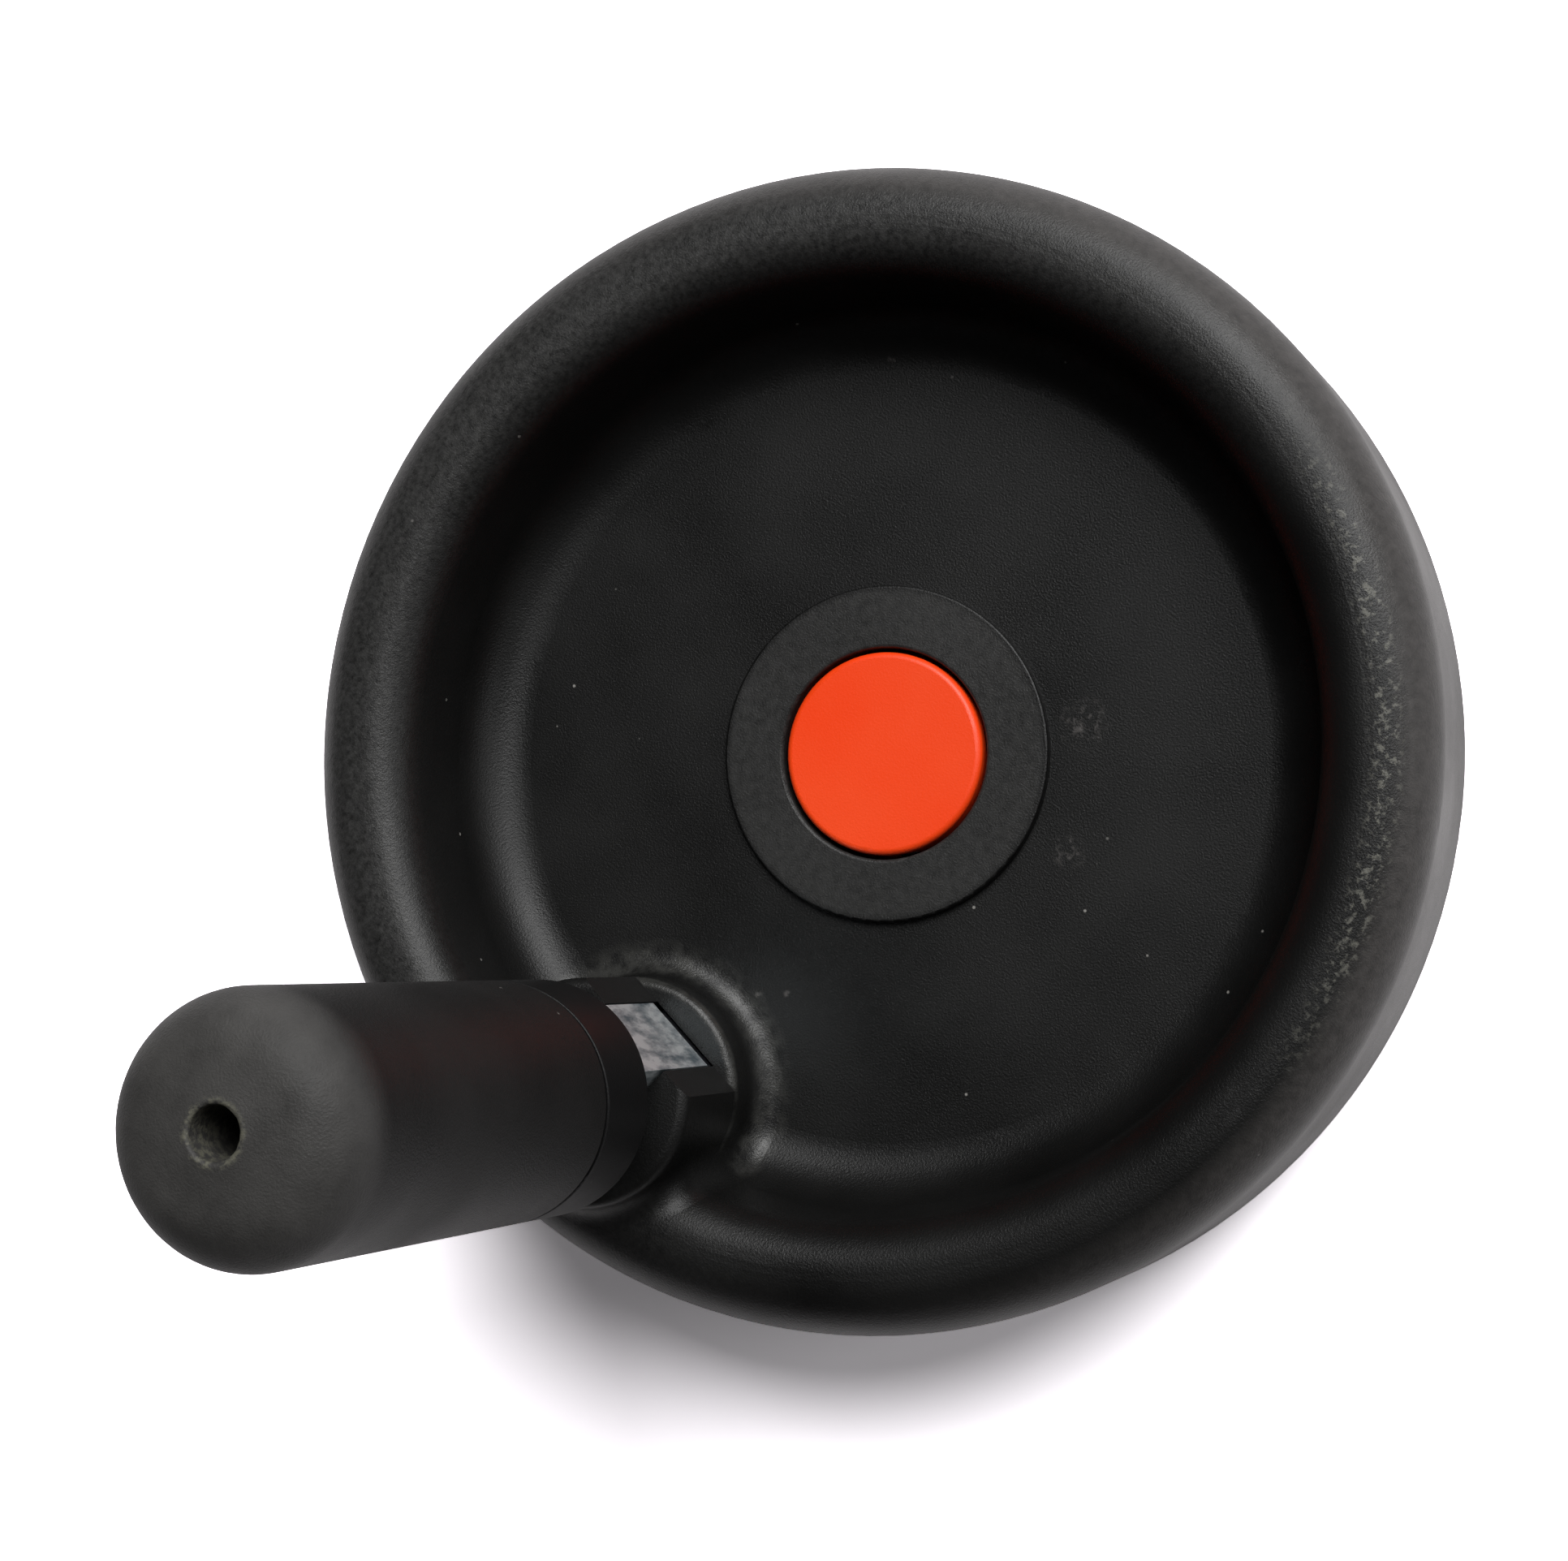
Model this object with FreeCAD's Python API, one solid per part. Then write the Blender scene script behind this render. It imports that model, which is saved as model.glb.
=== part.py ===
"""Solid-disc handwheel with a fold-away revolving handle.

A dished plastic wheel with a thick rolled rim carries a moulded-in steel bush in its hub, closed at the
front by a round snap-in cap. A slotted boss stands inside the rim. A die-cast pivot block swings in the
slot on a cross pin, so the handle folds from upright down into the dish, beside the hub. Two flats of the
block meet a leaf spring in the slot, which holds the handle upright or folded. A spindle screwed into the
block carries a collar and the grip, which turns on it.

Frame, in millimetres: origin at the centre of the hub's back face, on which the wheel lies, +Z along the
wheel's axis towards the front, +X from the axis towards the handle.
"""
import FreeCAD, Part
import math
import os

# Wheel
wheel_d = 125.0          # over the rim
rim_height = 27.0        # rim, back to crest
rim_width = 11.6         # rim at its crest, before rounding
rim_outer_round = 6.3    # crest, outer side
rim_inner_round = 5.0    # crest, dish side
rim_back_round = 4.0     # back edge of the rim
rim_skin = 4.0           # walls of the hollow rim
rim_crest_skin = 6.0     # material left under the crest
rim_ribs = 16
rim_rib_t = 2.2
web_front_z = 20.0       # front face of the web over the hub's back face
web_t = 5.0
dish_depth = 18.4        # crest over the web
dish_wall_lean = 2.15    # the wall's foot is this much nearer the axis than its top
dish_fillet = 6.5
web_ribs = 8
web_rib_t = 3.0
web_rib_drop = 9.0       # rib under the web, at the hub
# Hub
hub_back_d = 34.0
hub_root_d = 38.0
hub_root_fillet = 2.0
hub_ring_d = 37.4        # raised ring round the cap
hub_ring_h = 1.2
bush_d = 22.0
bush_length = 15.0
bush_bore_d = 14.0
bush_chamfer = 0.8
key_w = 5.0
key_depth = 2.3
anchor_groove_w = 2.5
anchor_groove_depth = 1.0
# Cap
cap_d = 22.5
cap_gap = 0.5            # radial gap to its recess
cap_proud = 0.3          # over the hub ring
cap_plate_t = 2.2
cap_edge_round = 0.7
cap_wall = 1.5
cap_slots = 4
cap_slot_w = 3.0
cap_bead_h = 1.2
cap_bead_gap = 0.05
# Boss for the handle
handle_inset = 16.4      # outside of the rim to the handle's axis
fold_turn = -10.0        # fold direction, turned from the line to the hub, degrees
boss_d = 24.6
boss_height = 22.0       # over the web
boss_edge_round = 1.2
boss_foot_fillet = 3.0
ledge_edge_round = 1.0
ledge_height = 7.0       # floor of the cut-away side, over the web
slot_side_gap = 0.2
slot_back_gap = 0.1      # behind the block, which stops there upright and folded
# Handle pivot
block_half = 8.8         # pivot to each flat of the block
block_w = 9.3
block_corner = 1.5
fold_gap = 0.3           # folded block over the ledge
swing_gap = 0.3          # under the corner of the block as it swings
pin_d = 5.0
pin_length = 18.5
pin_recess = 2.0
running_gap = 0.05
# Leaf spring
leaf_w = 8.4
leaf_t = 0.6
leaf_half_span = 8.0
leaf_touch = 0.05
# Handle
collar_start = 32.2      # underside of the collar, over the web
collar_length = 11.0
collar_d = 24.4
collar_chamfer = 0.6
spindle_d = 8.0
spindle_in_block = 11.0
spindle_in_grip = 44.0
spindle_chamfer = 0.8
hex_af = 4.0
hex_depth = 4.5
grip_d = 24.4
grip_length = 56.2
grip_gap = 0.3           # between collar and grip
grip_edge_chamfer = 0.5
grip_end_round = 6.0
grip_crown = 1.6         # rise of the end over its rounded edge
grip_hole_d = 4.8
grip_bore_end_gap = 0.6
ring_t = 1.0
ring_groove_d = 6.4
ring_d = 9.6
ring_from_end = 3.0
ring_mouth = 2.2
ring_side_gap = 0.1
grip_groove_d = 10.4
grip_groove_w = 1.8

# Places worked out from the sizes above
wheel_r = wheel_d / 2
handle_radius = wheel_r - handle_inset
dish_foot_r = wheel_r - rim_width - dish_wall_lean
crest_z = web_front_z + dish_depth
rim_back_z = crest_z - rim_height
web_back_z = web_front_z - web_t
ring_z = web_front_z + hub_ring_h
ledge_z = web_front_z + ledge_height
boss_top_z = web_front_z + boss_height
pivot_z = ledge_z + block_half + fold_gap
block_sweep = (block_half - block_corner) * math.sqrt(2) + block_corner
slot_floor_z = pivot_z - block_sweep - swing_gap
slot_half = block_w / 2 + slot_side_gap
collar_z = web_front_z + collar_start
grip_z = collar_z + collar_length + grip_gap
spindle_top_z = grip_z + spindle_in_grip
ring_under_z = spindle_top_z - ring_from_end
cap_recess_r = cap_d / 2 + cap_gap
up = FreeCAD.Vector(0, 0, 1)
centre = FreeCAD.Vector(0, 0, 0)


def at(x, y, z):
    return FreeCAD.Vector(x, y, z)


def cylinder(d, z0, z1, x=0.0, y=0.0):
    return Part.makeCylinder(d / 2, z1 - z0, at(x, y, z0), up)


def box(x0, x1, y0, y1, z0, z1):
    return Part.makeBox(x1 - x0, y1 - y0, z1 - z0, at(x0, y0, z0))


def rounded_outline(corners):
    """Closed wire in the XZ plane through (x, z, corner radius) points, with tangent arcs at the corners."""
    count = len(corners)
    ends = []
    for i, (x, z, radius) in enumerate(corners):
        here = at(x, 0, z)
        before = corners[i - 1]
        after = corners[(i + 1) % count]
        back = (at(before[0], 0, before[1]) - here).normalize()
        ahead = (at(after[0], 0, after[1]) - here).normalize()
        if radius == 0:
            ends.append((here, None, here))
            continue
        half = math.acos(max(-1.0, min(1.0, back.dot(ahead)))) / 2
        run = radius / math.tan(half)
        bisector = (back + ahead).normalize()
        middle = here + bisector * (radius / math.sin(half) - radius)
        ends.append((here + back * run, middle, here + ahead * run))
    edges = []
    for i, (start, middle, end) in enumerate(ends):
        if middle is not None:
            edges.append(Part.Arc(start, middle, end).toShape())
        following = ends[(i + 1) % count][0]
        if end.distanceToPoint(following) > 1e-6:
            edges.append(Part.LineSegment(end, following).toShape())
    return Part.Wire(edges)


def revolved(corners, x=0.0):
    """Solid of revolution of an XZ outline about a vertical axis through (x, 0)."""
    solid = Part.Face(rounded_outline(corners)).revolve(centre, up, 360)
    solid.translate(at(x, 0, 0))
    return solid


def extruded_y(corners, y0, y1):
    """XZ outline pushed along Y."""
    face = Part.Face(rounded_outline(corners))
    face.translate(at(0, y0, 0))
    return face.extrude(at(0, y1 - y0, 0))


def hexagon(across_flats, z0, z1, x=0.0):
    corner_r = across_flats / math.sqrt(3)
    points = [
        at(x + corner_r * math.cos(math.radians(a)), corner_r * math.sin(math.radians(a)), z0)
        for a in range(0, 361, 60)
    ]
    return Part.Face(Part.makePolygon(points)).extrude(at(0, 0, z1 - z0))


def polar(shape, angle):
    turned = shape.copy()
    turned.rotate(centre, up, angle)
    return turned


def folded_way(shape):
    """Turns what was drawn folding straight at the hub to the real fold direction."""
    shape.rotate(at(handle_radius, 0, 0), up, fold_turn)
    return shape


def one(shape):
    """The shape with its seams merged, as a single solid."""
    merged = shape.removeSplitter()
    return merged.Solids[0] if len(merged.Solids) == 1 else merged


def hub_bush():
    groove_r = bush_d / 2 - anchor_groove_depth
    corners = [
        (bush_bore_d / 2 + bush_chamfer, 0, 0),
        (bush_d / 2, 0, 0),
    ]
    for share in (1 / 3, 2 / 3):
        middle = bush_length * share
        corners += [
            (bush_d / 2, middle - anchor_groove_w / 2, 0),
            (groove_r, middle - anchor_groove_w / 2, 0),
            (groove_r, middle + anchor_groove_w / 2, 0),
            (bush_d / 2, middle + anchor_groove_w / 2, 0),
        ]
    corners += [
        (bush_d / 2, bush_length, 0),
        (bush_bore_d / 2, bush_length, 0),
        (bush_bore_d / 2, bush_chamfer, 0),
    ]
    keyway = box(0, bush_bore_d / 2 + key_depth, -key_w / 2, key_w / 2, -1, bush_length + 1)
    return one(revolved(corners).cut(keyway))


def wheel_disc():
    """Rim, dish, web and hub as one turned form."""
    rim_inner_r = wheel_r - rim_width
    corners = [
        (0, 0, 0),
        (hub_back_d / 2, 0, 1.0),
        (hub_root_d / 2, web_back_z, hub_root_fillet),
        (wheel_r - rim_width - rim_skin, web_back_z, 0),
        (wheel_r - rim_width - rim_skin, rim_back_z, 0),
        (wheel_r, rim_back_z, rim_back_round),
        (wheel_r, crest_z, rim_outer_round),
        (rim_inner_r, crest_z, rim_inner_round),
        (dish_foot_r, web_front_z, dish_fillet),
        (hub_ring_d / 2, web_front_z, 0),
        (hub_ring_d / 2, ring_z, 0.3),
        (cap_recess_r, ring_z, 0.4),
        (cap_recess_r, bush_length, 0),
        (0, bush_length, 0),
    ]
    return revolved(corners)


def rim_pocket():
    """Hollow under the rim, open at the back and crossed by ribs, solid where the boss stands."""
    outer_r = wheel_r - rim_skin
    wall_lean = dish_wall_lean / dish_depth
    top_z = crest_z - rim_crest_skin
    foot_r = dish_foot_r + rim_skin
    top_r = foot_r + wall_lean * (top_z - web_front_z)
    corners = [
        (foot_r, rim_back_z - 1, 0),
        (outer_r, rim_back_z - 1, 0),
        (outer_r, top_z, 1.0),
        (top_r, top_z, 1.0),
        (foot_r, web_back_z + 2, 0),
    ]
    pocket = revolved(corners)
    for i in range(rim_ribs):
        rib = box(0, wheel_r, -rim_rib_t / 2, rim_rib_t / 2, 0, crest_z)
        pocket = pocket.cut(polar(rib, (i + 0.5) * 360 / rim_ribs))
    beside_boss = boss_d / 2 + boss_foot_fillet
    return pocket.cut(box(0, wheel_r, -beside_boss, beside_boss, 0, crest_z))


def web_rib():
    """One tapered rib between hub and rim, on the back of the web."""
    inner_x = hub_back_d / 2 - 1
    outer_x = wheel_r - rim_width - rim_skin + 1
    corners = [
        (inner_x, web_back_z + 1, 0),
        (inner_x, web_back_z - web_rib_drop, 0),
        (outer_x, rim_back_z, 0),
        (outer_x, web_back_z + 1, 0),
    ]
    return extruded_y(corners, -web_rib_t / 2, web_rib_t / 2)


def boss():
    tall = cylinder(boss_d, web_front_z - 1, boss_top_z, handle_radius)
    top = [e for e in tall.Edges if abs(e.BoundBox.ZMin - boss_top_z) < 1e-6]
    tall = tall.makeFillet(boss_edge_round, top)
    front_x = handle_radius - block_half
    cut_away = box(handle_radius - boss_d, front_x, -boss_d, boss_d, ledge_z, boss_top_z + 1)
    block = tall.cut(folded_way(cut_away))
    step = [
        e for e in block.Edges
        if abs(e.BoundBox.ZMin - ledge_z) < 1e-6 and abs(e.BoundBox.ZMax - ledge_z) < 1e-6
        and e.Curve.TypeId == "Part::GeomCircle"
    ]
    return block.makeFillet(ledge_edge_round, step)


def boss_slot():
    """Slot for the block, open to the front and top, sunk below the ledge for the swinging corner."""
    back_x = handle_radius + block_half + slot_back_gap
    front_x = handle_radius - block_half
    trough = box(front_x, back_x, -slot_half, slot_half, slot_floor_z, boss_top_z + 1)
    return folded_way(trough)


def foot_fillet(shape):
    """Rounds the corner where the boss stands on the web."""
    foot = [
        e for e in shape.Edges
        if abs(e.BoundBox.ZMin - web_front_z) < 1e-4 and abs(e.BoundBox.ZMax - web_front_z) < 1e-4
        and abs(e.BoundBox.XMin - (handle_radius - boss_d / 2)) < 0.5
    ]
    return shape.makeFillet(boss_foot_fillet, foot) if foot else shape


def cross_bar(d, y0, y1):
    """Round bar along the pivot."""
    return folded_way(Part.makeCylinder(d / 2, y1 - y0, at(handle_radius, y0, pivot_z), at(0, 1, 0)))


def pin_hole(d):
    return cross_bar(d, -boss_d / 2 - 0.5, -boss_d / 2 + pin_recess + pin_length)


def wheel_body(bush):
    disc = wheel_disc().cut(rim_pocket())
    ribs = [polar(web_rib(), (i + 0.5) * 360 / web_ribs) for i in range(web_ribs)]
    body = one(disc.fuse(ribs))
    body = foot_fillet(one(body.fuse(boss())))
    core = cylinder(bush_d - 2 * anchor_groove_depth, -1, bush_length + 1)
    return one(body.cut([boss_slot(), pin_hole(pin_d), core, bush]))


def hub_cap():
    top_z = ring_z + cap_proud
    radius = cap_d / 2
    bead_z = bush_length + cap_bead_h
    bead_r = cap_recess_r - cap_bead_gap
    corners = [
        (0, top_z - cap_plate_t, 0),
        (radius - cap_wall, top_z - cap_plate_t, 0),
        (radius - cap_wall, bush_length, 0),
        (radius, bush_length, 0),
        (bead_r, bead_z, 0),
        (radius, bead_z + cap_bead_h, 0),
        (radius, top_z, cap_edge_round),
        (0, top_z, 0),
    ]
    cap = revolved(corners)
    for i in range(cap_slots):
        slot = box(0, wheel_r, -cap_slot_w / 2, cap_slot_w / 2, bush_length - 1, top_z - cap_plate_t)
        cap = cap.cut(polar(slot, (i + 0.5) * 360 / cap_slots))
    return one(cap)


def pivot_block():
    """Block with a flat front and foot and a round heel, drilled for the pin and the spindle."""
    corners = [
        (handle_radius - block_half, pivot_z - block_half, block_corner),
        (handle_radius + block_half, pivot_z - block_half, block_half),
        (handle_radius + block_half, collar_z, 0),
        (handle_radius - block_half, collar_z, 0),
    ]
    block = folded_way(extruded_y(corners, -block_w / 2, block_w / 2))
    socket = cylinder(spindle_d, collar_z - spindle_in_block, collar_z + 1, handle_radius)
    return one(block.cut([pin_hole(pin_d + 2 * running_gap), socket]))


def detent_leaf():
    """Bowed strip that stands on the slot floor on both ends and meets the foot of the block."""
    rise = pivot_z - block_half - leaf_touch - leaf_t - slot_floor_z
    feet = [at(side * leaf_half_span, 0, slot_floor_z) for side in (-1, 1)]
    below = Part.Arc(feet[0], at(0, 0, slot_floor_z + rise), feet[1])
    above = Part.Arc(feet[0] + up * leaf_t, at(0, 0, slot_floor_z + rise + leaf_t), feet[1] + up * leaf_t)
    ends = [Part.LineSegment(foot, foot + up * leaf_t) for foot in feet]
    outline = Part.Wire([below.toShape(), ends[1].toShape(), above.toShape(), ends[0].toShape()])
    strip = Part.Face(outline).extrude(at(0, leaf_w, 0))
    strip.translate(at(handle_radius, -leaf_w / 2, 0))
    return folded_way(strip)


def handle_spindle():
    """Round spindle, grooved for the retaining ring, with a hexagon socket in its end."""
    spindle = cylinder(spindle_d, collar_z - spindle_in_block, spindle_top_z, handle_radius)
    tip = [e for e in spindle.Edges if abs(e.BoundBox.ZMin - spindle_top_z) < 1e-6]
    spindle = spindle.makeChamfer(spindle_chamfer, tip)
    groove_z = ring_under_z - ring_t - ring_side_gap
    groove = cylinder(spindle_d + 2, groove_z, ring_under_z + ring_side_gap, handle_radius)
    groove = groove.cut(cylinder(ring_groove_d, 0, spindle_top_z, handle_radius))
    socket = hexagon(hex_af, spindle_top_z - hex_depth, spindle_top_z + 1, handle_radius)
    return one(spindle.cut([groove, socket]))


def pivot_pin():
    y0 = -boss_d / 2 + pin_recess
    pin = cross_bar(pin_d, y0, y0 + pin_length)
    ends = [e for e in pin.Edges if e.Curve.TypeId == "Part::GeomCircle"]
    return pin.makeChamfer(0.4, ends)


def base_collar():
    radius = collar_d / 2
    bore_r = spindle_d / 2 + running_gap
    corners = [
        (bore_r, collar_z, 0),
        (radius - collar_chamfer, collar_z, 0),
        (radius, collar_z + collar_chamfer, 0),
        (radius, collar_z + collar_length, 0.2),
        (bore_r, collar_z + collar_length, 0),
    ]
    return revolved(corners, handle_radius)


def handle_grip():
    """Turned grip with a domed end, a blind bore for the spindle and an access hole to its socket."""
    radius = grip_d / 2
    top_z = grip_z + grip_length
    bore_r = spindle_d / 2 + running_gap
    bore_top_z = spindle_top_z + grip_bore_end_gap
    groove_z = ring_under_z - ring_t / 2 - grip_groove_w / 2
    corners = [
        (bore_r, grip_z, 0),
        (radius - grip_edge_chamfer, grip_z, 0),
        (radius, grip_z + grip_edge_chamfer, 0),
        (radius, top_z - grip_crown, grip_end_round),
        (grip_hole_d / 2, top_z, 0.4),
        (grip_hole_d / 2, bore_top_z, 0),
        (bore_r, bore_top_z, 0),
        (bore_r, groove_z + grip_groove_w, 0),
        (grip_groove_d / 2, groove_z + grip_groove_w, 0),
        (grip_groove_d / 2, groove_z, 0),
        (bore_r, groove_z, 0),
    ]
    return revolved(corners, handle_radius)


def retaining_ring():
    """Open spring ring that holds the grip on the spindle."""
    ring = cylinder(ring_d, ring_under_z - ring_t, ring_under_z, handle_radius)
    ring = ring.cut(cylinder(ring_groove_d + 2 * running_gap, 0, spindle_top_z, handle_radius))
    mouth = box(handle_radius, handle_radius + ring_d, -ring_mouth / 2, ring_mouth / 2, 0, spindle_top_z)
    return one(ring.cut(mouth))


def main():
    os.makedirs("parts", exist_ok=True)
    bush = hub_bush()
    parts = {
        "wheel_body": wheel_body(bush),
        "hub_bush": bush,
        "hub_cap": hub_cap(),
        "pivot_pin": pivot_pin(),
        "detent_leaf": detent_leaf(),
        "pivot_block": pivot_block(),
        "handle_spindle": handle_spindle(),
        "base_collar": base_collar(),
        "handle_grip": handle_grip(),
        "retaining_ring": retaining_ring(),
    }
    for name, shape in parts.items():
        print(name, "solids", len(shape.Solids), "valid", shape.isValid(), "volume", round(shape.Volume, 1))
        shape.exportStep(f"parts/{name}.step")


main()
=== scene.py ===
# %% [markdown]
# # Solid-disc handwheel with a fold-away revolving handle
# A black plastic wheel for a machine's spindle. The dish is one moulding with the hub, the rolled rim and
# a slotted boss for the handle. The orange cap closes the hub. The wheel lies on its back with the handle
# standing up, seen from above and from the handle's side.

# %% Frame
import math
import bpy
from mathutils import Euler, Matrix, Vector


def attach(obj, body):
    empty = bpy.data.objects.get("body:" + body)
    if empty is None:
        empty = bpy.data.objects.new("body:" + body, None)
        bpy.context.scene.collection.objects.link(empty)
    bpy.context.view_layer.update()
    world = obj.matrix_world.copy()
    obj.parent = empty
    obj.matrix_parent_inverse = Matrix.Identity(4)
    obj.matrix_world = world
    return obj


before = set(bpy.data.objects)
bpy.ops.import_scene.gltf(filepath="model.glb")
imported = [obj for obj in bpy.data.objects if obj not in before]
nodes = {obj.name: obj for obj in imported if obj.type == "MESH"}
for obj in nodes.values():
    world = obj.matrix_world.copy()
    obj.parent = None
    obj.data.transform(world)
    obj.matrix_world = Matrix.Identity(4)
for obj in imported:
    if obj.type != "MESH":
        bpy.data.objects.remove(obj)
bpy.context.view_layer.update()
for name, node in sorted(nodes.items()):
    print("cad node", name, len(node.data.polygons), "faces")

# %% [markdown]
# The sizes below are those of the CAD source that the finish and the small pieces need: where the web and
# the handle lie. Everything is in metres.

# %% Sizes
WEB_Z = 0.0200
WEB_T = 0.0050
HANDLE_X = 0.0461
GRIP_END = 0.1196
HOLE_R = 0.0024
HANDLE_AXIS = (HANDLE_X, 0.0, 0.0)
WHEEL_AXIS = (0.0, 0.0, 0.0)
print("web front at", WEB_Z, "handle axis at", HANDLE_X, "grip ends at", GRIP_END)

# %% [markdown]
# Small helpers. `only` clears the selection and picks one piece, `settle` applies what was done to it and
# leaves its origin at the frame's origin, and `smooth` rounds the shading below an angle, as a moulded
# surface shades.


# %% Helpers
def only(piece):
    bpy.ops.object.select_all(action="DESELECT")
    piece.select_set(True)
    bpy.context.view_layer.objects.active = piece


def settle(piece):
    only(piece)
    bpy.ops.object.transform_apply(location=True, rotation=True, scale=True)


def smooth(piece, angle=35):
    only(piece)
    bpy.ops.object.shade_smooth_by_angle(angle=math.radians(angle))


def finish_with(piece, material):
    piece.data.materials.clear()
    piece.data.materials.append(material)


# %% [markdown]
# A finish starts as a plain Principled surface with its own numbers on the sockets. Variation is added
# later by shared groups, all of them read in the piece's own coordinates, so it stays put from any side.


# %% Plain surface
def surface(name, color, roughness, metallic=0.0, specular=0.5):
    material = bpy.data.materials.new(name)
    material.use_nodes = True
    shader = material.node_tree.nodes["Principled BSDF"]
    shader.inputs["Base Color"].default_value = (*color, 1.0)
    shader.inputs["Roughness"].default_value = roughness
    shader.inputs["Metallic"].default_value = metallic
    shader.inputs["Specular IOR Level"].default_value = specular
    return material


def add(tree, kind, label, **settings):
    node = tree.nodes.new(kind)
    node.label = label
    for key, value in settings.items():
        setattr(node, key, value)
    return node


def new_group(name, outputs):
    tree = bpy.data.node_groups.new(name, "ShaderNodeTree")
    tree.interface.new_socket("Position", in_out="INPUT", socket_type="NodeSocketVector")
    for output in outputs:
        tree.interface.new_socket(output, in_out="OUTPUT", socket_type="NodeSocketFloat")
    start = add(tree, "NodeGroupInput", "in")
    end = add(tree, "NodeGroupOutput", "out")
    return tree, start, end


# %% [markdown]
# The mould is spark-eroded, so the plastic carries a fine pebbled grain about a quarter of a millimetre
# across. Two noises give it: a fine one for the grain, and a broad one, because the grain is polished
# flat in places by hands and cloths.

# %% Mould grain
grain, grain_in, grain_out = new_group("mould grain", ["Height", "Worn"])
fine = add(grain, "ShaderNodeTexNoise", "grain")
fine.inputs["Scale"].default_value = 4200.0
fine.inputs["Detail"].default_value = 3.0
fine.inputs["Roughness"].default_value = 0.6
broad = add(grain, "ShaderNodeTexNoise", "polished areas")
broad.inputs["Scale"].default_value = 55.0
broad.inputs["Detail"].default_value = 5.0
for texture in (fine, broad):
    grain.links.new(grain_in.outputs["Position"], texture.inputs["Vector"])
grain.links.new(fine.outputs["Fac"], grain_out.inputs["Height"])
grain.links.new(broad.outputs["Fac"], grain_out.inputs["Worn"])
print("group", grain.name, len(grain.nodes), "nodes")

# %% [markdown]
# Pale dust sits on the dark plastic as single specks, thick in some places and absent in others. Cells of
# a Voronoi pattern give round specks of about a quarter of a millimetre, and a noise thins them out.

# %% Dust specks
dust, dust_in, dust_out = new_group("dust specks", ["Amount"])
cells = add(dust, "ShaderNodeTexVoronoi", "specks")
cells.inputs["Scale"].default_value = 210.0
cells.inputs["Randomness"].default_value = 1.0
speck = add(dust, "ShaderNodeMapRange", "speck size")
speck.inputs["From Min"].default_value = 0.045
speck.inputs["From Max"].default_value = 0.025
patches = add(dust, "ShaderNodeTexNoise", "where dust lies")
patches.inputs["Scale"].default_value = 38.0
patches.inputs["Detail"].default_value = 2.0
thin = add(dust, "ShaderNodeMapRange", "thinned")
thin.inputs["From Min"].default_value = 0.47
thin.inputs["From Max"].default_value = 0.60
both = add(dust, "ShaderNodeMath", "specks there", operation="MULTIPLY")
for texture in (cells, patches):
    dust.links.new(dust_in.outputs["Position"], texture.inputs["Vector"])
dust.links.new(cells.outputs["Distance"], speck.inputs["Value"])
dust.links.new(patches.outputs["Fac"], thin.inputs["Value"])
dust.links.new(speck.outputs["Result"], both.inputs[0])
dust.links.new(thin.outputs["Result"], both.inputs[1])
dust.links.new(both.outputs["Value"], dust_out.inputs["Amount"])
print("group", dust.name, len(dust.nodes), "nodes")

# %% [markdown]
# Wear lies where a thing is touched, so it is placed by distance, and so is the painted light: from the
# wheel's axis, from the handle's axis and along the height. A band rises and falls between four distances,
# a noise breaks it up, and masks are joined by multiplying them or by taking the larger. These functions
# are used for every mark.


# %% Masks by place
def band(tree, value, edges, label):
    """1 between the two inner edges, fading to 0 at the two outer ones."""
    rise = add(tree, "ShaderNodeMapRange", label + " start")
    rise.inputs["From Min"].default_value = edges[0]
    rise.inputs["From Max"].default_value = edges[1]
    fall = add(tree, "ShaderNodeMapRange", label + " end")
    fall.inputs["From Min"].default_value = edges[3]
    fall.inputs["From Max"].default_value = edges[2]
    within = add(tree, "ShaderNodeMath", label, operation="MULTIPLY")
    tree.links.new(value, rise.inputs["Value"])
    tree.links.new(value, fall.inputs["Value"])
    tree.links.new(rise.outputs["Result"], within.inputs[0])
    tree.links.new(fall.outputs["Result"], within.inputs[1])
    return within.outputs["Value"]


def reach(tree, position, centre, label):
    """Distance from an upright axis through centre."""
    shift = add(tree, "ShaderNodeVectorMath", label + " from axis", operation="SUBTRACT")
    shift.inputs[1].default_value = centre
    flat = add(tree, "ShaderNodeVectorMath", label + " flattened", operation="MULTIPLY")
    flat.inputs[1].default_value = (1.0, 1.0, 0.0)
    span = add(tree, "ShaderNodeVectorMath", label + " distance", operation="LENGTH")
    tree.links.new(position, shift.inputs[0])
    tree.links.new(shift.outputs["Vector"], flat.inputs[0])
    tree.links.new(flat.outputs["Vector"], span.inputs[0])
    return span.outputs["Value"], flat.outputs["Vector"]


def times(tree, *values):
    """Product of several masks."""
    product = values[0]
    for value in values[1:]:
        step = add(tree, "ShaderNodeMath", "and", operation="MULTIPLY")
        tree.links.new(product, step.inputs[0])
        tree.links.new(value, step.inputs[1])
        product = step.outputs["Value"]
    return product


def either(tree, first, second, label):
    """The larger of two masks."""
    larger = add(tree, "ShaderNodeMath", label, operation="MAXIMUM")
    tree.links.new(first, larger.inputs[0])
    tree.links.new(second, larger.inputs[1])
    return larger.outputs["Value"]


def height(tree, position):
    """Height over the frame's floor."""
    split = add(tree, "ShaderNodeSeparateXYZ", "height")
    tree.links.new(position, split.inputs["Vector"])
    return split.outputs["Z"]


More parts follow.
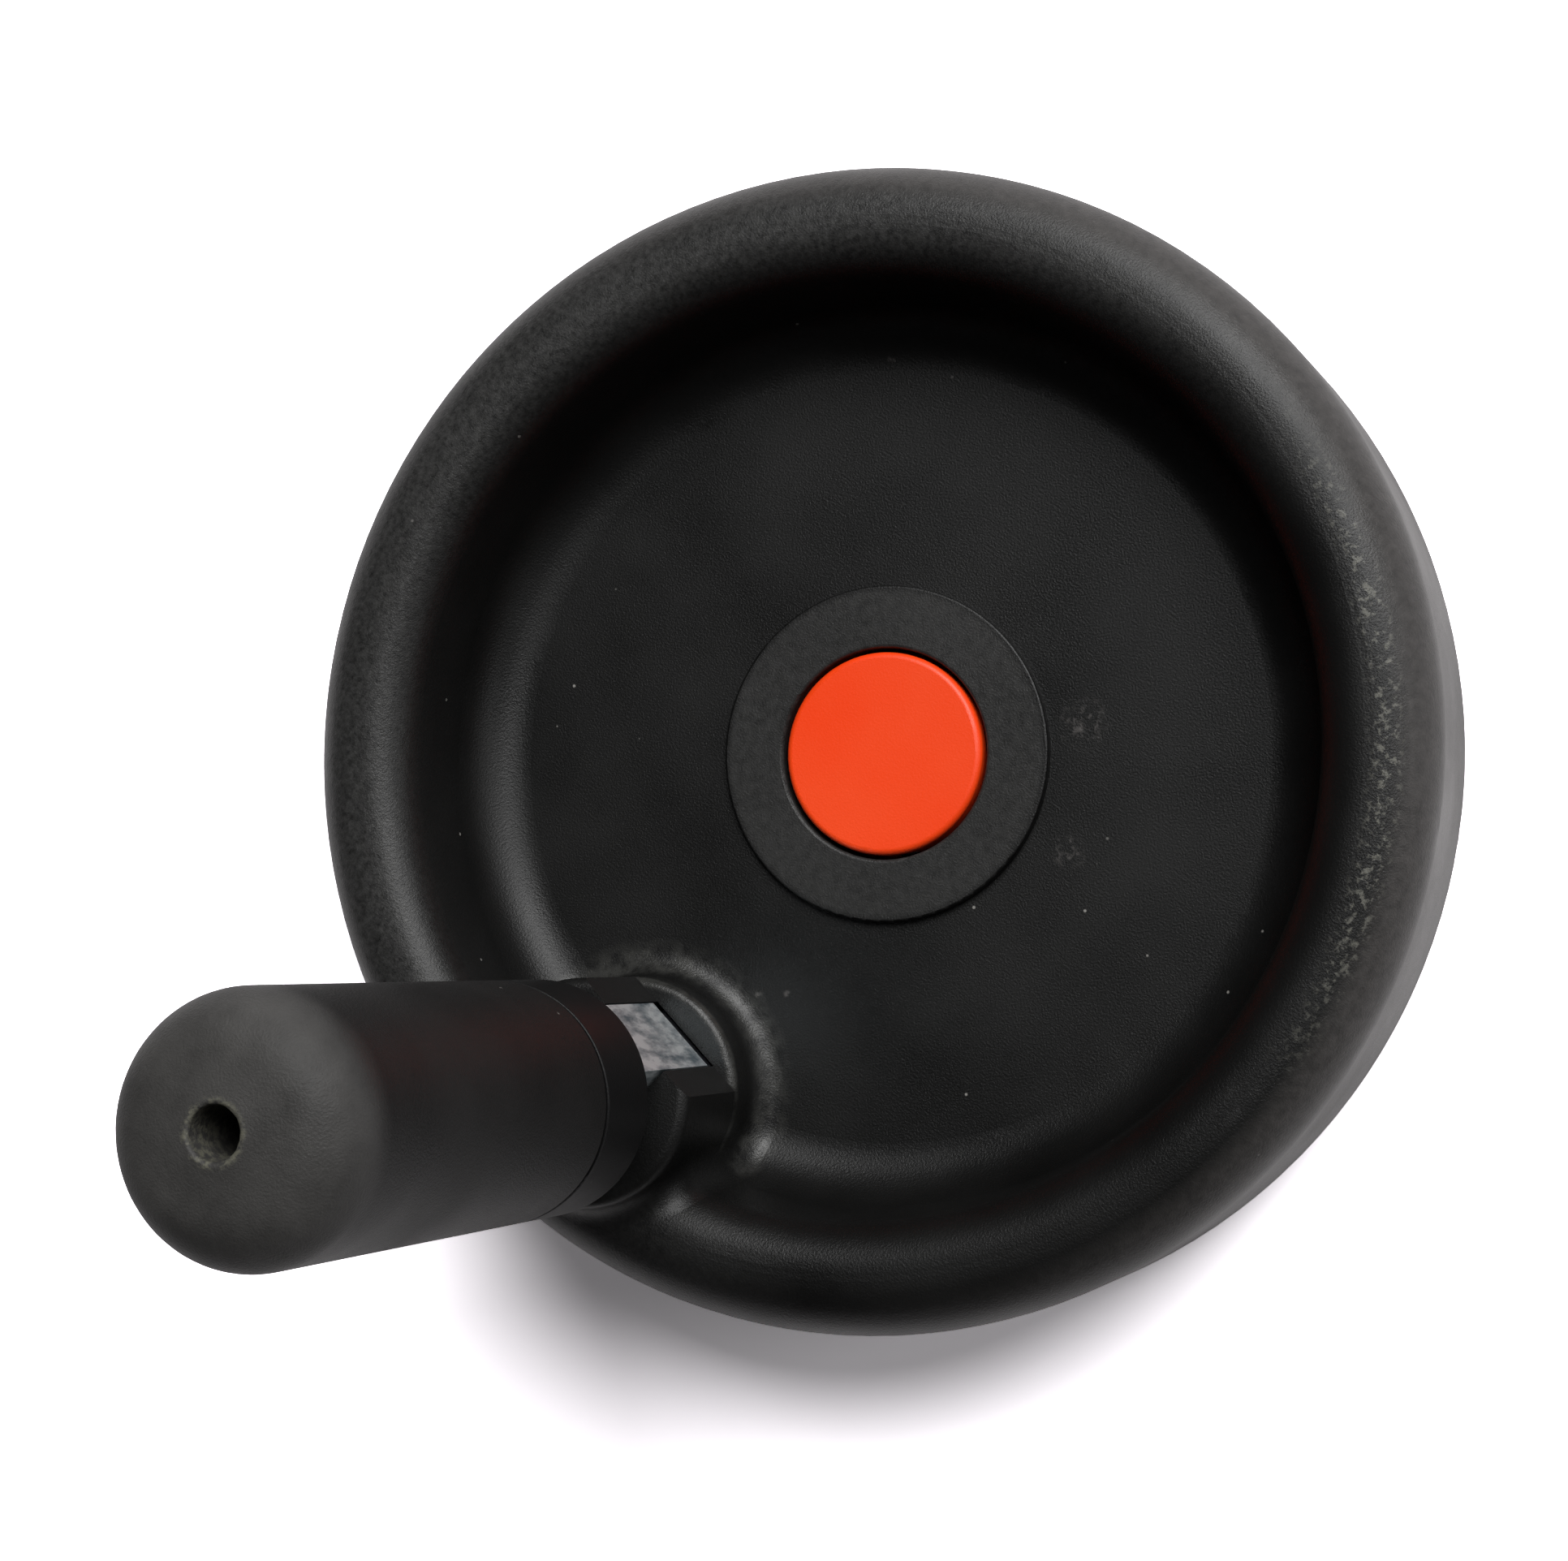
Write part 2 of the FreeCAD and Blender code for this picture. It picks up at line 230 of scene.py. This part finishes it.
def broken(tree, position, scale, low, high, label):
    """Noise cut to patches."""
    noise = add(tree, "ShaderNodeTexNoise", label)
    noise.inputs["Scale"].default_value = scale
    noise.inputs["Detail"].default_value = 6.0
    noise.inputs["Roughness"].default_value = 0.65
    cut = add(tree, "ShaderNodeMapRange", label + " cut")
    cut.inputs["From Min"].default_value = low
    cut.inputs["From Max"].default_value = high
    tree.links.new(position, noise.inputs["Vector"])
    tree.links.new(noise.outputs["Fac"], cut.inputs["Value"])
    return cut.outputs["Result"]


def facing(tree, flat, degrees, low, high, label):
    """Mask of the side of the wheel that lies in one direction."""
    unit = add(tree, "ShaderNodeVectorMath", label + " direction", operation="NORMALIZE")
    along = add(tree, "ShaderNodeVectorMath", label + " likeness", operation="DOT_PRODUCT")
    along.inputs[1].default_value = (math.cos(math.radians(degrees)), math.sin(math.radians(degrees)), 0.0)
    cut = add(tree, "ShaderNodeMapRange", label)
    cut.inputs["From Min"].default_value = low
    cut.inputs["From Max"].default_value = high
    tree.links.new(flat, unit.inputs[0])
    tree.links.new(unit.outputs["Vector"], along.inputs[0])
    tree.links.new(along.outputs["Value"], cut.inputs["Value"])
    return cut.outputs["Result"]


# %% [markdown]
# The wheel has gone pale in places, and light is painted on it in others. The fillet round the foot of the
# boss is partly rubbed pale by the folding handle and fingers and partly a painted highlight, and the edge
# of its ledge is a painted highlight. Hands have greyed the crest of the rim and the ring of the hub; on
# the crest the grey is painted on one side only, as painted light. The outer wall carries a painted sheen
# on one side, dry dust clings to the crest on the side away from the handle, and a few smudges lie on the
# web. The distances were read off the photograph and brought back onto the wheel. Directions are degrees
# round the wheel's axis, counted from the handle.

# %% Scuffs, crest dust and painted light
FOOT_OF_BOSS = (0.0124, 0.0132, 0.0150, 0.0168)
NEAR_WEB = (0.0190, 0.0195, 0.0225, 0.0260)
EDGE_OF_LEDGE = (0.0111, 0.0116, 0.0122, 0.0126)
LEDGE_HEIGHT = (0.0258, 0.0264, 0.0271, 0.0273)
DUST_LINE = (0.0553, 0.0569, 0.0583, 0.0594)
WHOLE_CREST = (0.0500, 0.0540, 0.0605, 0.0622)
UP_ON_RIM = (0.0300, 0.0340, 0.0600, 0.0610)
RING_OF_HUB = (0.0110, 0.0116, 0.0178, 0.0186)
OUTER_WALL = (0.0578, 0.0598, 0.0640, 0.0650)
DUST_SIDE = 126.0
LIT_SIDE = 270.0
SHEEN_SIDE = 150.0
SMUDGES = [
    ((-0.0157, 0.0162, 0.0), 0.0032),
    ((-0.0036, 0.0232, 0.0), 0.0022),
    ((-0.0360, -0.0257, 0.0), 0.0008),
    ((0.0303, 0.0039, 0.0), 0.0006),
    ((0.0283, 0.0066, 0.0), 0.0006),
]

scuffs_and_light, scuffs_and_light_in, scuffs_and_light_out = new_group("scuffs_and_light", ["RubAndHighlight", "Dusty", "GreyAndLight", "SheenAndSmudges"])
position = scuffs_and_light_in.outputs["Position"]
boss_span, boss_flat = reach(scuffs_and_light, position, HANDLE_AXIS, "boss")
wheel_span, wheel_flat = reach(scuffs_and_light, position, WHEEL_AXIS, "wheel")
tall = height(scuffs_and_light, position)

# Paler on the fillet round the foot of the boss: partly scuffs, partly a painted highlight of the fillet.
foot_scuff_and_highlight = times(
    scuffs_and_light,
    band(scuffs_and_light, boss_span, FOOT_OF_BOSS, "foot of the boss"),
    band(scuffs_and_light, tall, NEAR_WEB, "near the web"),
    broken(scuffs_and_light, position, 420.0, 0.40, 0.62, "scuff and highlight patches"),
)
# The edge of the ledge: a painted highlight.
ledge_painted_highlight = times(
    scuffs_and_light,
    band(scuffs_and_light, boss_span, EDGE_OF_LEDGE, "edge of the ledge"),
    band(scuffs_and_light, tall, LEDGE_HEIGHT, "height of the ledge"),
    broken(scuffs_and_light, position, 600.0, 0.30, 0.62, "painted highlight on the edge"),
)
rub_and_highlight = either(scuffs_and_light, foot_scuff_and_highlight, ledge_painted_highlight, "foot or ledge")

dusty = times(
    scuffs_and_light,
    band(scuffs_and_light, wheel_span, DUST_LINE, "crest of the rim"),
    facing(scuffs_and_light, wheel_flat, DUST_SIDE, 0.80, 0.97, "side away from the handle"),
    broken(scuffs_and_light, position, 1300.0, 0.52, 0.62, "dust crumbs"),
)

# Grey on the crest, painted stronger on the side at 270 degrees and gone on the opposite side: painted
# light.
crest_grey_and_light = times(
    scuffs_and_light,
    band(scuffs_and_light, wheel_span, WHOLE_CREST, "whole crest"),
    band(scuffs_and_light, tall, UP_ON_RIM, "up on the rim"),
    facing(scuffs_and_light, wheel_flat, LIT_SIDE, -0.55, 0.60, "side painted lighter"),
    broken(scuffs_and_light, position, 1500.0, 0.25, 0.75, "uneven grey"),
)
ring_grey = times(
    scuffs_and_light,
    band(scuffs_and_light, wheel_span, RING_OF_HUB, "raised ring of the hub"),
    broken(scuffs_and_light, position, 900.0, 0.10, 1.10, "thin grey"),
)
grey_and_light = either(scuffs_and_light, crest_grey_and_light, ring_grey, "crest or ring")

# Painted sheen on the outer wall, on the side at 150 degrees; the smudges on the web are added to it
# below.
sheen_and_smudges = times(
    scuffs_and_light,
    band(scuffs_and_light, wheel_span, OUTER_WALL, "outer wall"),
    facing(scuffs_and_light, wheel_flat, SHEEN_SIDE, -0.30, 0.60, "side with the painted sheen"),
    broken(scuffs_and_light, position, 900.0, 0.0, 0.90, "sheen and smudge tint"),
)
for centre, radius in SMUDGES:
    span, flat = reach(scuffs_and_light, position, centre, "smudge")
    round_spot = band(scuffs_and_light, span, (-0.0002, -0.0001, radius * 0.3, radius), "smudge")
    spot = times(scuffs_and_light, round_spot, broken(scuffs_and_light, position, 900.0, 0.50, 0.64, "smudge bits"))
    sheen_and_smudges = either(scuffs_and_light, sheen_and_smudges, spot, "or smudge")

for mask, output in ((rub_and_highlight, "RubAndHighlight"), (dusty, "Dusty"), (grey_and_light, "GreyAndLight"), (sheen_and_smudges, "SheenAndSmudges")):
    scuffs_and_light.links.new(mask, scuffs_and_light_out.inputs[output])
print("group", scuffs_and_light.name, len(scuffs_and_light.nodes), "nodes")

# %% [markdown]
# The moulded black of wheel, collar and grip is the same story with other numbers: dark colour lifted a
# little where it is worn and a lot where a speck lies, roughness that varies with the polish, and the
# grain as a bump.


# %% Moulded plastic
def moulded(name, color, worn_color, roughness, grain_depth, dusty):
    material = surface(name, color, sum(roughness) / 2)
    tree = material.node_tree
    shader = tree.nodes["Principled BSDF"]
    place = add(tree, "ShaderNodeTexCoord", "own coordinates")
    pebble = add(tree, "ShaderNodeGroup", "grain", node_tree=grain)
    specks = add(tree, "ShaderNodeGroup", "dust", node_tree=dust)
    wear = add(tree, "ShaderNodeMix", "worn tint", data_type="RGBA")
    wear.inputs["A"].default_value = (*color, 1.0)
    wear.inputs["B"].default_value = (*worn_color, 1.0)
    dusted = add(tree, "ShaderNodeMix", "dust over it", data_type="RGBA")
    dusted.inputs["B"].default_value = (0.30, 0.29, 0.27, 1.0)
    amount = add(tree, "ShaderNodeMath", "dust share", operation="MULTIPLY")
    amount.inputs[1].default_value = dusty
    gloss = add(tree, "ShaderNodeMapRange", "polish")
    gloss.inputs["From Min"].default_value = 0.3
    gloss.inputs["From Max"].default_value = 0.7
    gloss.inputs["To Min"].default_value = roughness[0]
    gloss.inputs["To Max"].default_value = roughness[1]
    bump = add(tree, "ShaderNodeBump", "grain depth")
    bump.inputs["Distance"].default_value = grain_depth
    bump.inputs["Strength"].default_value = 0.6
    for group in (pebble, specks):
        tree.links.new(place.outputs["Object"], group.inputs["Position"])
    tree.links.new(pebble.outputs["Worn"], wear.inputs["Factor"])
    tree.links.new(wear.outputs["Result"], dusted.inputs["A"])
    tree.links.new(specks.outputs["Amount"], amount.inputs[0])
    tree.links.new(amount.outputs["Value"], dusted.inputs["Factor"])
    tree.links.new(dusted.outputs["Result"], shader.inputs["Base Color"])
    tree.links.new(pebble.outputs["Worn"], gloss.inputs["Value"])
    tree.links.new(gloss.outputs["Result"], shader.inputs["Roughness"])
    tree.links.new(pebble.outputs["Height"], bump.inputs["Height"])
    tree.links.new(bump.outputs["Normal"], shader.inputs["Normal"])
    return material


wheel_black = moulded(
    "wheel black",
    color=(0.0006, 0.0006, 0.0006),
    worn_color=(0.0090, 0.0090, 0.0086),
    roughness=(0.34, 0.48),
    grain_depth=0.00010,
    dusty=0.8,
)
collar_black = moulded(
    "collar black",
    color=(0.0030, 0.0030, 0.0032),
    worn_color=(0.0060, 0.0060, 0.0060),
    roughness=(0.38, 0.50),
    grain_depth=0.00005,
    dusty=0.3,
)
grip_black = moulded(
    "grip black",
    color=(0.0015, 0.0014, 0.0014),
    worn_color=(0.0150, 0.0146, 0.0140),
    roughness=(0.40, 0.58),
    grain_depth=0.00014,
    dusty=0.4,
)
collar_black.node_tree.nodes["Principled BSDF"].inputs["Specular IOR Level"].default_value = 0.20
print("plastics", wheel_black.name, collar_black.name, grip_black.name)

# %% [markdown]
# The wheel alone gets the scuffs and the painted light. They go between the worn tint and the shader, one
# over the other: grey on the crest, painted on one side only as painted light; the painted sheen of the
# outer wall, in the same colour as the smudges; a paler black on the foot of the boss, partly scuffs and
# partly painted highlight, and on the edge of the ledge, painted highlight; and the colour of dry dust in
# crumbs.
# These paler places are also made smoother, as rubbing polishes.

# %% Scuffed wheel with painted light
tree = wheel_black.node_tree
shader = tree.nodes["Principled BSDF"]
before = shader.inputs["Base Color"].links[0].from_socket
place = add(tree, "ShaderNodeTexCoord", "own coordinates")
wheel_marks_and_light = add(tree, "ShaderNodeGroup", "scuffs_and_light", node_tree=scuffs_and_light)
# Paler black on the foot of the boss and the edge of the ledge: partly scuffs, partly painted highlight.
rub_highlight_mix = add(tree, "ShaderNodeMix", "scuffed and highlit grey", data_type="RGBA")
rub_highlight_mix.inputs["B"].default_value = (0.20, 0.20, 0.185, 1.0)
rub_highlight_share = add(tree, "ShaderNodeMath", "scuffed and highlit share", operation="MULTIPLY")
rub_highlight_share.inputs[1].default_value = 0.16
crumbs = add(tree, "ShaderNodeMix", "dust crumbs", data_type="RGBA")
crumbs.inputs["B"].default_value = (0.28, 0.275, 0.235, 1.0)
crumb_share = add(tree, "ShaderNodeMath", "crumb share", operation="MULTIPLY")
crumb_share.inputs[1].default_value = 0.40
# Crest grey, with painted light on one side of the crest.
crest = add(tree, "ShaderNodeMix", "crest grey and painted light", data_type="RGBA")
crest.inputs["B"].default_value = (0.052, 0.0515, 0.0500, 1.0)
# One colour for the painted sheen of the outer wall and for the smudges.
sheen_smudge_mix = add(tree, "ShaderNodeMix", "sheen and smudge tint", data_type="RGBA")
sheen_smudge_mix.inputs["B"].default_value = (0.072, 0.067, 0.064, 1.0)
tree.links.new(place.outputs["Object"], wheel_marks_and_light.inputs["Position"])
tree.links.new(before, crest.inputs["A"])
tree.links.new(wheel_marks_and_light.outputs["GreyAndLight"], crest.inputs["Factor"])
tree.links.new(wheel_marks_and_light.outputs["RubAndHighlight"], rub_highlight_share.inputs[0])
tree.links.new(wheel_marks_and_light.outputs["Dusty"], crumb_share.inputs[0])
tree.links.new(crest.outputs["Result"], sheen_smudge_mix.inputs["A"])
tree.links.new(wheel_marks_and_light.outputs["SheenAndSmudges"], sheen_smudge_mix.inputs["Factor"])
tree.links.new(sheen_smudge_mix.outputs["Result"], rub_highlight_mix.inputs["A"])
tree.links.new(rub_highlight_share.outputs["Value"], rub_highlight_mix.inputs["Factor"])
tree.links.new(rub_highlight_mix.outputs["Result"], crumbs.inputs["A"])
tree.links.new(crumb_share.outputs["Value"], crumbs.inputs["Factor"])
tree.links.new(crumbs.outputs["Result"], shader.inputs["Base Color"])
rough_before = shader.inputs["Roughness"].links[0].from_socket
polished = add(tree, "ShaderNodeMix", "smoother where scuffed and highlit", data_type="FLOAT")
polished.inputs["B"].default_value = 0.26
tree.links.new(rough_before, polished.inputs["A"])
tree.links.new(wheel_marks_and_light.outputs["RubAndHighlight"], polished.inputs["Factor"])
tree.links.new(polished.outputs["Result"], shader.inputs["Roughness"])
shader.inputs["Specular IOR Level"].default_value = 0.36
print("scuffs in", wheel_black.name)

# %% [markdown]
# The grip's domed end is coloured greyer than the sides, in uneven patches, fading out where the dome
# turns into the side. The key that tightens the spindle has chewed the edge of the hole pale in bits.

# %% Greyer domed end
tree = grip_black.node_tree
shader = tree.nodes["Principled BSDF"]
before = shader.inputs["Base Color"].links[0].from_socket
place = add(tree, "ShaderNodeTexCoord", "own coordinates")
end_grey = add(tree, "ShaderNodeMix", "greyer end", data_type="RGBA")
end_grey.inputs["B"].default_value = (0.070, 0.0680, 0.0650, 1.0)
DOMED_END = (0.1110, 0.1170, 0.1300, 0.1310)
EDGE_OF_HOLE = (0.0021, 0.0023, 0.0028, 0.0032)
own_place = place.outputs["Object"]
end_part = band(tree, height(tree, own_place), DOMED_END, "domed end")
axis_span, axis_flat = reach(tree, own_place, HANDLE_AXIS, "grip")
lip_ring = band(tree, axis_span, EDGE_OF_HOLE, "edge of the end hole")
lip_bits = broken(tree, own_place, 1300.0, 0.44, 0.60, "chewed bits")
chewed = add(tree, "ShaderNodeMix", "chewed edge", data_type="RGBA")
chewed.inputs["B"].default_value = (0.115, 0.112, 0.088, 1.0)
tree.links.new(before, end_grey.inputs["A"])
end_grey_share = times(tree, end_part, broken(tree, own_place, 160.0, -0.10, 0.80, "uneven end grey"))
tree.links.new(end_grey_share, end_grey.inputs["Factor"])
tree.links.new(end_grey.outputs["Result"], chewed.inputs["A"])
tree.links.new(times(tree, lip_ring, end_part, lip_bits), chewed.inputs["Factor"])
tree.links.new(chewed.outputs["Result"], shader.inputs["Base Color"])
shader.inputs["Specular IOR Level"].default_value = 0.20
print("grey end in", grip_black.name)

# %% [markdown]
# The cap is moulded in an opaque orange plastic. It is smoother than the wheel, so it only takes a faint
# grain and a slight unevenness of colour, and no dust.

# %% Cap finish
cap_orange = moulded(
    "cap orange",
    color=(1.0, 0.048, 0.003),
    worn_color=(1.0, 0.080, 0.006),
    roughness=(0.38, 0.50),
    grain_depth=0.00004,
    dusty=0.0,
)
print("cap finish", cap_orange.name)

# %% [markdown]
# The pivot block is plated steel that has gone a little cloudy. The noise is stretched along the handle,
# because the flats were ground that way before plating. Bush, spindle and pin are plain turned steel, and
# leaf spring and ring are dark hardened strip.

# %% Metals
block_metal = surface("plated block", (0.74, 0.78, 0.80), 0.55, metallic=1.0)
tree = block_metal.node_tree
place = add(tree, "ShaderNodeTexCoord", "own coordinates")
stretch = add(tree, "ShaderNodeMapping", "along the handle")
stretch.inputs["Scale"].default_value = (520.0, 520.0, 210.0)
cloud = add(tree, "ShaderNodeTexNoise", "cloudy plating")
cloud.inputs["Scale"].default_value = 1.0
cloud.inputs["Detail"].default_value = 9.0
cloud.inputs["Roughness"].default_value = 0.62
tint = add(tree, "ShaderNodeValToRGB", "plating tint")
tint.color_ramp.elements[0].position = 0.36
tint.color_ramp.elements[0].color = (0.26, 0.33, 0.37, 1.0)
tint.color_ramp.elements[1].position = 0.58
tint.color_ramp.elements[1].color = (0.86, 0.92, 0.93, 1.0)
haze = add(tree, "ShaderNodeMapRange", "haze")
haze.inputs["To Min"].default_value = 0.50
haze.inputs["To Max"].default_value = 0.68
tree.links.new(place.outputs["Object"], stretch.inputs["Vector"])
tree.links.new(stretch.outputs["Vector"], cloud.inputs["Vector"])
tree.links.new(cloud.outputs["Fac"], tint.inputs["Fac"])
tree.links.new(cloud.outputs["Fac"], haze.inputs["Value"])
tree.links.new(tint.outputs["Color"], tree.nodes["Principled BSDF"].inputs["Base Color"])
tree.links.new(haze.outputs["Result"], tree.nodes["Principled BSDF"].inputs["Roughness"])
turned_steel = surface("turned steel", (0.50, 0.50, 0.51), 0.30, metallic=1.0)
spring_steel = surface("spring steel", (0.16, 0.16, 0.18), 0.35, metallic=1.0)
print("metals", block_metal.name, turned_steel.name, spring_steel.name)

# %% [markdown]
# Each CAD node takes its finish. The shapes themselves stay as they are.

# %% Finishes on the nodes
finishes = {
    "wheel_body": wheel_black,
    "hub_cap": cap_orange,
    "base_collar": collar_black,
    "handle_grip": grip_black,
    "pivot_block": block_metal,
    "hub_bush": turned_steel,
    "handle_spindle": turned_steel,
    "pivot_pin": turned_steel,
    "detent_leaf": spring_steel,
    "retaining_ring": spring_steel,
}
for name, material in finishes.items():
    finish_with(nodes[name], material)
    print(name, "is", material.name)

# %% [markdown]
# The chewed edge of the end hole also stands up a little: a low, uneven lip runs round it, as plastic is
# pushed aside by a key. It is a thin ring with its points moved at random, and it turns with the grip.

# %% Worn lip of the end hole
LIP_THICK = 0.00032
bpy.ops.object.select_all(action="DESELECT")
bpy.ops.mesh.primitive_torus_add(
    major_segments=72,
    minor_segments=12,
    major_radius=HOLE_R + 0.00030,
    minor_radius=LIP_THICK,
    location=(HANDLE_X, 0.0, GRIP_END - LIP_THICK - 0.00001),
)
lip = bpy.context.object
lip.name = "end_hole_lip"
settle(lip)
bpy.ops.object.mode_set(mode="EDIT")
bpy.ops.mesh.select_all(action="SELECT")
bpy.ops.transform.vertex_random(offset=0.00012, uniform=0.5, normal=0.0, seed=4)
bpy.ops.mesh.vertices_smooth(factor=0.5, repeat=2)
bpy.ops.object.mode_set(mode="OBJECT")
smooth(lip, 60)
finish_with(lip, grip_black)
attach(lip, "grip")
print(lip.name, len(lip.data.polygons), "faces")

# %% [markdown]
# The back is never seen in use, but a moulding has its marks there: the pins that push it out of the mould
# leave a round ring on each field of the web between two ribs. One mark is modelled, a low disc whose
# face is sunk inside a narrow edge, and it is copied round the wheel's axis.

# %% Ejector marks
MARKS = 8
MARK_CIRCLE = 0.0330
MARK_R = 0.0030
MARK_EDGE = 0.00035
MARK_SUNK = 0.00018
bpy.ops.object.select_all(action="DESELECT")
bpy.ops.mesh.primitive_cylinder_add(
    vertices=48,
    radius=MARK_R,
    depth=0.0006,
    location=(MARK_CIRCLE, 0.0, WEB_Z - WEB_T),
)
first_mark = bpy.context.object
settle(first_mark)
for face in first_mark.data.polygons:
    face.select = face.normal.z < -0.9
bpy.ops.object.mode_set(mode="EDIT")
bpy.ops.mesh.select_mode(type="FACE")
bpy.ops.mesh.inset(thickness=MARK_EDGE)
bpy.ops.transform.translate(value=(0.0, 0.0, MARK_SUNK))
bpy.ops.object.mode_set(mode="OBJECT")
marks_back = [first_mark]
for i in range(1, MARKS):
    only(first_mark)
    bpy.ops.object.duplicate(linked=False)
    mark = bpy.context.object
    bpy.ops.transform.rotate(
        value=math.radians(360.0 / MARKS * i),
        orient_axis="Z",
        center_override=(0.0, 0.0, 0.0),
    )
    settle(mark)
    marks_back.append(mark)
only(first_mark)
for mark in marks_back:
    mark.select_set(True)
bpy.ops.object.join()
ejector_marks = bpy.context.object
ejector_marks.name = "ejector_marks"
smooth(ejector_marks, 30)
finish_with(ejector_marks, wheel_black)
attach(ejector_marks, "wheel")
print(ejector_marks.name, len(ejector_marks.data.polygons), "faces")

# %% [markdown]
# The floor is a plain white table. Rays straight from the camera see it whiter than the light it gives
# back, with a little emission that grows far from the wheel, so that it reads white out to the horizon and
# still keeps the wheel's shadow. Rays mirrored in the plastic see it a little whiter too.

# %% Floor
TABLE_WHITE = (0.86, 0.85, 0.88)
MIRRORED_WHITE = (1.05, 1.02, 1.03)
SEEN_WHITE = (3.30, 3.16, 3.30)
bpy.ops.object.select_all(action="DESELECT")
bpy.ops.mesh.primitive_plane_add(size=6.0, location=(0.0, 0.0, 0.0))
floor = bpy.context.object
floor.name = "floor"
table_white = surface("table white", TABLE_WHITE, 0.9, specular=0.0)
tree = table_white.node_tree
rays = add(tree, "ShaderNodeLightPath", "kind of ray")
mirrored = add(tree, "ShaderNodeMix", "white when mirrored", data_type="RGBA")
mirrored.inputs["A"].default_value = (*TABLE_WHITE, 1.0)
mirrored.inputs["B"].default_value = (*MIRRORED_WHITE, 1.0)
direct = add(tree, "ShaderNodeMix", "white when seen", data_type="RGBA")
direct.inputs["B"].default_value = (*SEEN_WHITE, 1.0)
place = add(tree, "ShaderNodeTexCoord", "own coordinates")
away = add(tree, "ShaderNodeVectorMath", "distance from the wheel", operation="LENGTH")
far_white = add(tree, "ShaderNodeMapRange", "whiter far away")
far_white.inputs["From Min"].default_value = 0.22
far_white.inputs["From Max"].default_value = 0.60
far_white.inputs["To Min"].default_value = 0.08
far_white.inputs["To Max"].default_value = 1.0
lift = add(tree, "ShaderNodeMath", "lift when seen", operation="MULTIPLY")
tree.links.new(place.outputs["Object"], away.inputs[0])
tree.links.new(away.outputs["Value"], far_white.inputs["Value"])
tree.links.new(far_white.outputs["Result"], lift.inputs[1])
shader = tree.nodes["Principled BSDF"]
shader.inputs["Emission Color"].default_value = (1.0, 1.0, 1.0, 1.0)
tree.links.new(rays.outputs["Is Glossy Ray"], mirrored.inputs["Factor"])
tree.links.new(mirrored.outputs["Result"], direct.inputs["A"])
tree.links.new(rays.outputs["Is Camera Ray"], direct.inputs["Factor"])
tree.links.new(direct.outputs["Result"], shader.inputs["Base Color"])
tree.links.new(rays.outputs["Is Camera Ray"], lift.inputs[0])
tree.links.new(lift.outputs["Value"], shader.inputs["Emission Strength"])
finish_with(floor, table_white)
print("floor", floor.name)

# %% [markdown]
# A large soft key hangs over the top of the picture. It puts a soft shadow close below the wheel and
# leaves the upper dish wall in the dark. A weaker lamp on the right rounds the grip's end. The outside of
# the rim is lit by what it mirrors of the white table, and one side of it also carries a painted sheen.
# The room gives little light, and the camera sees it white.


# %% Lamps
def soft_lamp(name, direction, distance, size, watts):
    direction = Vector(direction).normalized()
    bpy.ops.object.select_all(action="DESELECT")
    bpy.ops.object.light_add(type="AREA", location=direction * distance + Vector((0.0, 0.0, WEB_Z)))
    lamp = bpy.context.object
    lamp.name = name
    lamp.rotation_euler = direction.to_track_quat("Z", "Y").to_euler()
    lamp.data.shape = "DISK"
    lamp.data.size = size
    lamp.data.energy = watts
    return lamp


key = soft_lamp("key", direction=(-0.685, -0.06, 0.84), distance=1.8, size=1.45, watts=40.0)
side = soft_lamp("side", direction=(-0.62, 0.72, 0.40), distance=0.9, size=0.30, watts=0.8)
world = bpy.data.worlds.new("room")
bpy.context.scene.world = world
world.use_nodes = True
room = world.node_tree.nodes["Background"]
rays = add(world.node_tree, "ShaderNodeLightPath", "kind of ray")
around = add(world.node_tree, "ShaderNodeMix", "white when seen, dim as light", data_type="RGBA")
around.inputs["A"].default_value = (0.030, 0.0285, 0.030, 1.0)
around.inputs["B"].default_value = (1.0, 1.0, 1.0, 1.0)
world.node_tree.links.new(rays.outputs["Is Camera Ray"], around.inputs["Factor"])
world.node_tree.links.new(around.outputs["Result"], room.inputs["Color"])
room.inputs["Strength"].default_value = 1.0
print("lamps", key.name, side.name, "and the room")

# %% [markdown]
# The camera stands above the wheel, 19 degrees off its axis, about a third of a metre away, with the
# handle at the lower left.

# %% Camera
bpy.ops.object.select_all(action="DESELECT")
bpy.ops.object.camera_add(location=(-0.042167, 0.093688, 0.345587))
camera = bpy.context.object
camera.name = "camera"
camera.rotation_euler = Euler((0.056520, 0.332281, 2.211542), "XYZ")
camera.data.sensor_width = 36.0
camera.data.lens = 70.65
camera.data.clip_start = 0.01
bpy.context.scene.camera = camera
bpy.context.scene.view_settings.view_transform = "Standard"
print("lens", round(camera.data.lens, 2), "mm")
